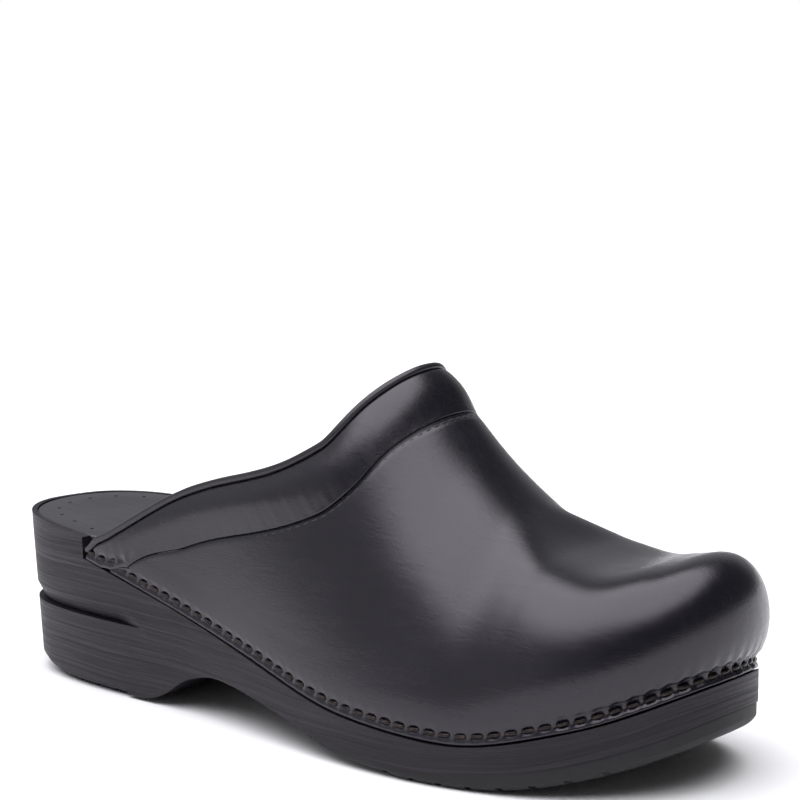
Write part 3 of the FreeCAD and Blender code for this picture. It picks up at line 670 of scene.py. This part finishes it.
def margin_share(panel):
    """1 over the margin and 0 over the seam, with a soft change between them."""
    reach = 12
    padded = np.pad(panel.on_margin.astype(float), reach, mode="edge")
    return np.convolve(padded, np.ones(2 * reach + 1) / (2 * reach + 1), mode="valid")[:, None]


def margin_relief(panel):
    """Height of the leather's relief: wells under the staples, a groove, the pull above and the lip."""
    position = line_position(panel.low)[:, None]
    front = front_share(panel.low)
    number = np.clip(np.floor(position / staple_step), 0, staple_count - 1).astype(int)
    beside = position - (number + 0.5) * staple_step
    force = staple_force[number]
    height = panel.from_low
    crown = STAPLE_HEIGHT - MARGIN_GAP
    well_half_length, well_half_height, groove_half_height = 1.75, 1.05, 1.5
    well = np.exp(-(beside / well_half_length) ** 4) * np.exp(-((height - crown) / well_half_height) ** 2)
    groove = np.exp(-((height - crown) / groove_half_height) ** 2)
    relief = -(0.62 + 0.25 * front) * force * well - (0.16 + 0.30 * front) * groove
    pull = np.exp(-np.maximum(height - crown - 1.0, 0) / (1.6 + 1.2 * front))
    ripple = np.cos(2 * np.pi * beside / staple_step)
    relief = relief - (0.07 + 0.26 * front) * force * ripple * pull * smooth(height, 3.2, 4.8)
    swollen = smooth(height, 3.4, 6.5) * (1 - smooth(height, 8, 22))
    relief = relief + (0.12 + 0.35 * front) * swollen
    lip = smooth(height, 0.0, 0.5) * (1 - smooth(height, 0.9, 1.7))
    relief = relief + (0.10 + 0.18 * front) * lip * force
    return relief * margin_share(panel)


def rounded_edge(distance, radius):
    """Fall of a surface towards an edge that is rounded."""
    share = np.clip(1 - distance / radius, 0, 1)
    return -radius * (1 - np.sqrt(1 - share ** 2))


def wrinkles(points, size, count, seed):
    """Smooth irregular waves over the surface, between about -1 and 1."""
    source = np.random.default_rng(seed)
    total = np.zeros(points.shape[:-1])
    for _ in range(count):
        direction = source.normal(size=3)
        direction *= 2 * np.pi / (size * source.uniform(0.7, 1.6) * np.linalg.norm(direction))
        total += np.sin(points @ direction + source.uniform(0, 2 * np.pi))
    return total / math.sqrt(count)


# ---------------------------------------------------------------- pieces of the upper

def toe_share(panel):
    """1 where the stiffener lies behind the toe, fading to 0 round it."""
    sideways = smooth(panel.along, 0.33, 0.39) * (1 - smooth(panel.along, 0.61, 0.67))
    return sideways * smooth(panel.up, 0.05, 0.14) * (1 - smooth(panel.up, 0.60, 0.70))


def make_vamp():
    panel = Panel(margin_foot(VAMP_START), over_the_foot(seam_rise), columns=900,
                  shares=dense_low(92, 0.24), trim_high=JOINT_GAP / 2)
    relief = margin_relief(panel)
    relief += 0.10 * wrinkles(panel.grid, 38, 9, 3) * smooth(panel.from_low, 6, 20)
    relief -= 0.14 * (1 - smooth(panel.from_high, 0.0, 1.3)) * smooth(panel.length, 3, 8)[:, None]
    relief += rounded_edge(panel.from_low, 0.45)
    outer = panel.moved(relief)
    inner = panel.moved(np.minimum(relief, 0) * 0.4 - VAMP_THICKNESS)
    add_piece("vamp_leather", closed_sheet(outer, inner), upper_leather, "upper_leather", "vamp")
    return panel


def make_vamp_lining():
    panel = Panel(margin_foot(VAMP_START), over_the_foot(seam_rise), columns=260,
                  shares=dense_low(60, 0.5), trim_high=JOINT_GAP / 2)
    near = VAMP_THICKNESS + LAYER_GAP
    near = near + PUFF_THICKNESS + (PUFF_THICKNESS + LAYER_GAP) * toe_share(panel)
    near = near + 0.12 * wrinkles(panel.grid, 22, 8, 5) ** 2
    shape = closed_sheet(panel.moved(-near), panel.moved(-near - LINING_THICKNESS))
    add_piece("vamp_inside", shape, inside_leather, "lining_leather", "vamp_lining")


def collar_shape(panel):
    """Swelling of the padded collar over its flat pattern."""
    fullest = np.sin(np.pi * panel.up ** 1.15)
    sides = np.sin(2 * np.pi * panel.along) ** 2 + 0.45 * np.sin(np.pi * panel.along) ** 6
    return COLLAR_BULGE * fullest * sides


def seam_puckers(panel):
    """Short creases square to the seam, strongest where it turns up towards the instep."""
    turn_outer, turn_inner, spread_of_turn = 0.30, 0.70, 0.05
    bends = (np.exp(-((panel.along - turn_outer) / spread_of_turn) ** 2)
             + np.exp(-((panel.along - turn_inner) / spread_of_turn) ** 2))
    ends = 0.35 * np.sin(np.pi * panel.along) ** 2
    run = path_lengths(panel.low)[:, None]
    waves = np.sin(2 * np.pi * run / 6.3 + 1.5 * np.sin(run / 9)) + 0.5 * np.sin(2 * np.pi * run / 3.2)
    fade = np.exp(-panel.from_low / 5.5) * smooth(panel.from_low, 0, 1.5)
    return 0.07 * (bends + ends) * waves * fade


def make_collar():
    panel = Panel(collar_low_edge(), over_the_foot(topline_rise), columns=760,
                  shares=dense_ends(72), trim_low=JOINT_GAP / 2, trim_high=BINDING_HEIGHT)
    relief = collar_shape(panel)
    seam = 1 - margin_share(panel)
    relief += seam * (rounded_edge(panel.from_low, 0.42) + seam_puckers(panel))
    relief += rounded_edge(panel.from_high, 1.1) * 0.8
    relief += margin_relief(panel)
    relief += 0.07 * wrinkles(panel.grid, 30, 9, 11)
    inner = panel.moved(collar_shape(panel) - COLLAR_THICKNESS)
    piece = add_piece("collar_leather", closed_sheet(panel.moved(relief), inner), collar_leather,
                      "upper_leather", "instep_collar")


def make_collar_lining():
    panel = Panel(collar_low_edge(), over_the_foot(topline_rise), columns=300,
                  shares=dense_ends(40), trim_low=JOINT_GAP / 2, trim_high=BINDING_HEIGHT)
    foam = FOAM_EDGE + FOAM_BULGE * np.sin(np.pi * panel.up) * np.sin(np.pi * panel.along)
    near = COLLAR_THICKNESS + LAYER_GAP + foam + LAYER_GAP - collar_shape(panel)
    near = near + 0.15 * wrinkles(panel.grid, 18, 8, 13) ** 2
    shape = closed_sheet(panel.moved(-near), panel.moved(-near - LINING_THICKNESS))
    add_piece("collar_inside", shape, inside_leather, "lining_leather", "collar_lining")


def make_binding():
    """Rolled strip over the raw edges of the collar."""
    half_high = BINDING_HEIGHT / 2
    layers = COLLAR_THICKNESS + FOAM_EDGE + LINING_THICKNESS
    middle = layers / 2 + LAYER_GAP
    panel = Panel(collar_low_edge(), over_the_foot(topline_rise), columns=700,
                  shares=np.linspace(0, 1, 16), trim_high=half_high)
    centres = panel.moved(-middle)[:, -1]
    ahead = np.gradient(centres, axis=0)
    ahead /= np.linalg.norm(ahead, axis=1, keepdims=True)
    normal = panel.normal[:, -1]
    wide = normal - ahead * (normal * ahead).sum(axis=1, keepdims=True)
    wide /= np.linalg.norm(wide, axis=1, keepdims=True)
    high = np.cross(ahead, wide)
    run = path_lengths(centres)
    uneven = 1 + 0.025 * np.sin(run / 3.1) * np.sin(run / 11.0)
    shape = tube(centres, wide, high, BINDING_WIDTH / 2 * uneven, half_high * uneven, 28, 2.6)
    add_piece("binding_strip", shape, binding_leather, "binding_leather", "topline_binding")


# ---------------------------------------------------------------- staples and stitches

def bent_wire(middle, along, normal, length, radius, sink):
    """A staple's crown: its wire comes out of the leather, runs along it and goes in again."""
    half = length / 2
    path = [(-half, -0.9), (-half, -0.35), (-0.93 * half, 0.0), (-0.72 * half, 0.20),
            (-0.35 * half, 0.27), (0, 0.29), (0.35 * half, 0.27), (0.72 * half, 0.20),
            (0.93 * half, 0.0), (half, -0.35), (half, -0.9)]
    points = np.array([middle + along * a + normal * (b - sink) for a, b in path])
    side = np.cross(normal, along)
    ahead = np.gradient(points, axis=0)
    ahead /= np.linalg.norm(ahead, axis=1, keepdims=True)
    wide = np.repeat(side[None], len(points), axis=0)
    return tube(points, wide, np.cross(ahead, wide), radius, 0.8 * radius, 12)


def make_staples():
    """Crowns spaced evenly along the margin line, each a little turned and shifted."""
    parts = []
    on_line = on_upper(line_places)
    for k in range(staple_count):
        distance = (k + 0.5) * staple_step
        near = [at_lengths(on_line, line_lengths, distance + step) for step in (-0.6, 0.0, 0.6)]
        along = near[2] - near[0]
        along /= np.linalg.norm(along)
        normal = np.cross(along, [0, 0, 1])
        normal /= np.linalg.norm(normal)
        turn = rng.normal(0, 0.05)
        along = along + np.cross(normal, along) * turn
        middle = near[1] + along * rng.normal(0, 0.12)
        sink = STAPLE_SINK + STAPLE_SINK_MORE_AT_TOE * smooth(near[1][0], *TOE_FRONT)
        parts.append(bent_wire(middle, along, normal, STAPLE_LENGTH, STAPLE_RADIUS, sink))
    add_piece("staple_crowns", join(parts), staple_wire(), "staple_wire", "margin_staples")


def make_stitches(panel):
    """Stitches just below the seam, each sunk into the vamp at its ends."""
    keep = panel.length > 6
    line = np.array([at_lengths(column, path_lengths(column), length - STITCH_INSET)
                     for column, length in zip(panel.grid[keep], panel.length[keep])])
    normals = panel.normal[keep][:, -3]
    total = path_lengths(line)
    count = int(total[-1] // STITCH_PITCH)
    parts = []
    for k in range(count):
        distance = (k + 0.5) * total[-1] / count
        middle = at_lengths(line, total, distance)
        along = at_lengths(line, total, distance + 0.6) - at_lengths(line, total, distance - 0.6)
        along /= np.linalg.norm(along)
        normal = at_lengths(normals, total, distance)
        normal -= along * (normal @ along)
        normal /= np.linalg.norm(normal)
        parts.append(bent_wire(middle, along, normal, STITCH_LENGTH, STITCH_RADIUS, STITCH_SINK))
    add_piece("stitch_row", join(parts), waxed_thread(), "seam_thread", "seam_stitches")


# ---------------------------------------------------------------- footbed cover

def sock_outline(station):
    """The sock lining runs to the heel's edge and inside the rim where the upper stands."""
    return SOCK_INSET + (SOCK_INSET_FRONT - SOCK_INSET) * smooth(station, UPPER_START - 7, UPPER_START + 5)


def make_sock():
    """Leather cover of the footbed: rounded edge, soft hollow for the heel, punched holes."""
    columns, rows = 560, 56
    rim = rim_point(outline.period * np.arange(columns) / columns, sock_outline)
    spine_x = np.clip(rim[:, 0], 32, 232)
    spine = np.stack([spine_x, (outer_side(spine_x) + inner_side(spine_x)) / 2], axis=1)
    share = dense_low(rows, 0.12)
    plan = rim[:, None] + (spine - rim)[:, None] * share[None, :, None]
    inwards = np.linalg.norm(plan - rim[:, None], axis=-1)
    top = footbed(plan[..., 0]) + rounded_edge(inwards, SOCK_EDGE_RADIUS)
    heel_hollow = HEEL_HOLLOW * smooth(inwards, 4, 22) * (1 - smooth(plan[..., 0], 55, 95))
    top = top - heel_hollow * smooth(inwards, 2, 12)
    upper = np.concatenate([plan, top[..., None]], axis=-1)
    low = np.concatenate([plan, footbed(plan[..., :1]) - SOCK_THICKNESS], axis=-1)
    low[..., 2] -= heel_hollow
    ids = np.arange(columns * rows).reshape(columns, rows)
    ids = np.concatenate([ids, ids[:1]], axis=0)
    below = ids + columns * rows
    quads = np.stack([ids[:-1, :-1], ids[1:, :-1], ids[1:, 1:], ids[:-1, 1:]], axis=-1).reshape(-1, 4)
    under = quads[:, ::-1] + columns * rows
    side = rim_faces(ids[:, 0], below[:, 0])
    vertices = np.concatenate([upper.reshape(-1, 3), low.reshape(-1, 3)])
    piece = add_piece("sock_cover", (vertices, np.concatenate([quads, under, side])), sock_leather,
                      "sock_leather", "sock_lining")
    weld(piece)
    punch(piece)


def weld(piece):
    """Join the vertices that meet along the middle line."""
    modifier = piece.modifiers.new("weld", "WELD")
    modifier.merge_threshold = 0.02 * MM
    apply_modifiers(piece)


def apply_modifiers(piece):
    """Replace a piece's mesh with the one its modifiers give."""
    graph = bpy.context.evaluated_depsgraph_get()
    mesh = bpy.data.meshes.new_from_object(piece.evaluated_get(graph))
    piece.modifiers.clear()
    piece.data = mesh


def punch(piece):
    """A line of small holes round the heel seat."""
    seat_samples = 624
    t = outline.period * (np.arange(-seat_samples, seat_samples + 1) / SAMPLES)
    ring = rim_point(t, PERFORATION_INSET)
    ring = np.concatenate([ring, np.zeros((len(ring), 1))], axis=1)
    total = path_lengths(ring)
    count = int(total[-1] // PERFORATION_PITCH)
    holes = []
    for k in range(count + 1):
        centre = at_lengths(ring, total, total[-1] * k / count)
        level = float(footbed(centre[0]))
        bottom, top = level - PERFORATION_DEPTH, level + 1.5
        centres = np.array([[centre[0], centre[1], bottom], [centre[0], centre[1], top]])
        axes = np.repeat(np.array([[[1.0, 0, 0]], [[0, 1.0, 0]]]), 2, axis=1)
        holes.append(tube(centres, axes[0], axes[1], PERFORATION_RADIUS, PERFORATION_RADIUS, 14))
    vertices, faces = join(holes)
    mesh = bpy.data.meshes.new("hole_tool")
    mesh.from_pydata(((vertices - ORIGIN) * MM).tolist(), [], faces)
    tool = bpy.data.objects.new("hole_tool", mesh)
    bpy.context.scene.collection.objects.link(tool)
    modifier = piece.modifiers.new("holes", "BOOLEAN")
    modifier.operation = "DIFFERENCE"
    modifier.object = tool
    apply_modifiers(piece)
    bpy.data.objects.remove(tool)


def dress(node, material):
    """Give a CAD node that keeps its shape a better material."""
    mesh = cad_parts[node].data
    mesh.materials.clear()
    mesh.materials.append(material)


# ---------------------------------------------------------------- studio

# Soft lights of the world: direction, cosines where each starts and is full, strength.
LIGHTS = [
    ((0.0, -0.2, 0.98), 0.68, 0.88, 3.7),       # large softbox overhead
    ((-0.75, -0.66, 0.0), 0.35, 0.85, 0.50),    # reflector at the heel side
    ((0.0, 0.0, -1.0), -0.1, 0.3, 0.6),         # light thrown back by the floor
    ((-0.61, 0.78, 0.1), 0.55, 0.92, 0.36),     # pale backdrop
]
DIM_ROOM = 0.09
CAMERA_PLACE = 0.4619, -0.5674, 0.2075
CAMERA_TARGET = -0.0875, 0.1309, 0.0755
CAMERA_LENS = 108.9


def make_floor():
    """A plain pale floor."""
    mesh = bpy.data.meshes.new("floor")
    reach = 6.0
    mesh.from_pydata([(-reach, -reach, 0), (reach, -reach, 0), (reach, reach, 0), (-reach, reach, 0)],
                     [], [(0, 1, 2, 3)])
    s = Shader("floor_paper")
    s.set(Base_Color=s.blend(s.noise(3, 2, 0.5), rgb(0.93, 0.93, 0.93), rgb(0.95, 0.95, 0.95)))
    s.set(Roughness=0.9)
    mesh.materials.append(s.material)
    floor = bpy.data.objects.new("floor", mesh)
    bpy.context.scene.collection.objects.link(floor)


def make_world():
    """A white studio lit by soft lights, which the camera sees as plain white."""
    world = bpy.data.worlds.new("studio")
    world.use_nodes = True
    tree = world.node_tree
    tree.nodes.clear()
    direction = tree.nodes.new("ShaderNodeTexCoord").outputs["Generated"]

    def node(kind, **settings):
        made = tree.nodes.new(kind)
        for key, value in settings.items():
            setattr(made, key, value)
        return made

    def patch(towards, start, end, strength):
        """Light that is full within a cone round a direction and fades out of it."""
        dot = node("ShaderNodeVectorMath", operation="DOT_PRODUCT")
        tree.links.new(direction, dot.inputs[0])
        dot.inputs[1].default_value = Vector(towards).normalized()
        fade = node("ShaderNodeMapRange", interpolation_type="SMOOTHSTEP")
        tree.links.new(dot.outputs["Value"], fade.inputs["Value"])
        for key, value in (("From Min", start), ("From Max", end), ("To Min", 0), ("To Max", strength)):
            fade.inputs[key].default_value = value
        return fade.outputs["Result"]

    level = None
    for light in LIGHTS:
        total = node("ShaderNodeMath", operation="ADD")
        tree.links.new(patch(*light), total.inputs[0])
        if level is None:
            total.inputs[1].default_value = DIM_ROOM
        else:
            tree.links.new(level, total.inputs[1])
        level = total.outputs[0]
    lit = node("ShaderNodeBackground")
    lit.inputs["Color"].default_value = rgb(0.97, 0.965, 1.0)
    tree.links.new(level, lit.inputs["Strength"])
    plain = node("ShaderNodeBackground")
    plain.inputs["Color"].default_value = rgb(1.0, 1.0, 1.0)
    mix = node("ShaderNodeMixShader")
    tree.links.new(node("ShaderNodeLightPath").outputs["Is Camera Ray"], mix.inputs[0])
    tree.links.new(lit.outputs[0], mix.inputs[1])
    tree.links.new(plain.outputs[0], mix.inputs[2])
    tree.links.new(mix.outputs[0], node("ShaderNodeOutputWorld").inputs["Surface"])
    bpy.context.scene.world = world


def make_camera():
    data = bpy.data.cameras.new("camera")
    data.sensor_width = 36.0
    data.lens = CAMERA_LENS
    camera = bpy.data.objects.new("camera", data)
    camera.location = CAMERA_PLACE
    camera.rotation_euler = (Vector(CAMERA_TARGET) - camera.location).to_track_quat("-Z", "Y").to_euler()
    bpy.context.scene.collection.objects.link(camera)
    bpy.context.scene.camera = camera


make_camera()
make_world()
make_floor()
vamp_panel = make_vamp()
make_vamp_lining()
make_collar()
make_collar_lining()
make_binding()
make_staples()
make_stitches(vamp_panel)
make_sock()
dress("sole_body", wood)
dress("forefoot_tread", rubber)
dress("heel_tread", rubber)
dress("footbed_cushion", padding_foam())
dress("collar_foam", padding_foam())
dress("toe_puff", stiffener_sheet())
bpy.context.scene.view_settings.view_transform = "Standard"
